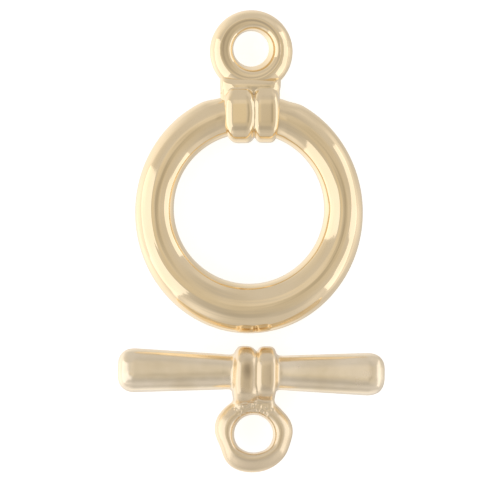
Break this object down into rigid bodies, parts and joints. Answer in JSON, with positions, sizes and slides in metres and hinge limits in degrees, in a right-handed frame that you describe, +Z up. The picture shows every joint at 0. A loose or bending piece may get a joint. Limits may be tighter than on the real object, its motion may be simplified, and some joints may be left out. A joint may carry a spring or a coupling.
{
  "type": "toggle clasp",
  "caption": "Toggle clasp lying unfastened: a cast oval hoop and a flared cross bar, each with a ribbed collar and an eyelet for a jump ring.",
  "frame": {"origin": "middle of the whole outline, on the surface that both castings rest on", "axes": "+Z up from the surface the clasp lies on; +Y from the bar half towards the eyelet of the ring half; +X to the right along the bar"},
  "size_m": [0.014, 0.0244, 0.0029],
  "materials": {
    "ring_gold": "mirror-polished pale yellow gold casting",
    "bar_gold": "polished pale yellow gold casting, slightly softer than the ring half"
  },
  "bodies": {
    "root": {"toggle_ring": "ring_gold", "toggle_bar": "bar_gold"}
  },
  "joints": []
}
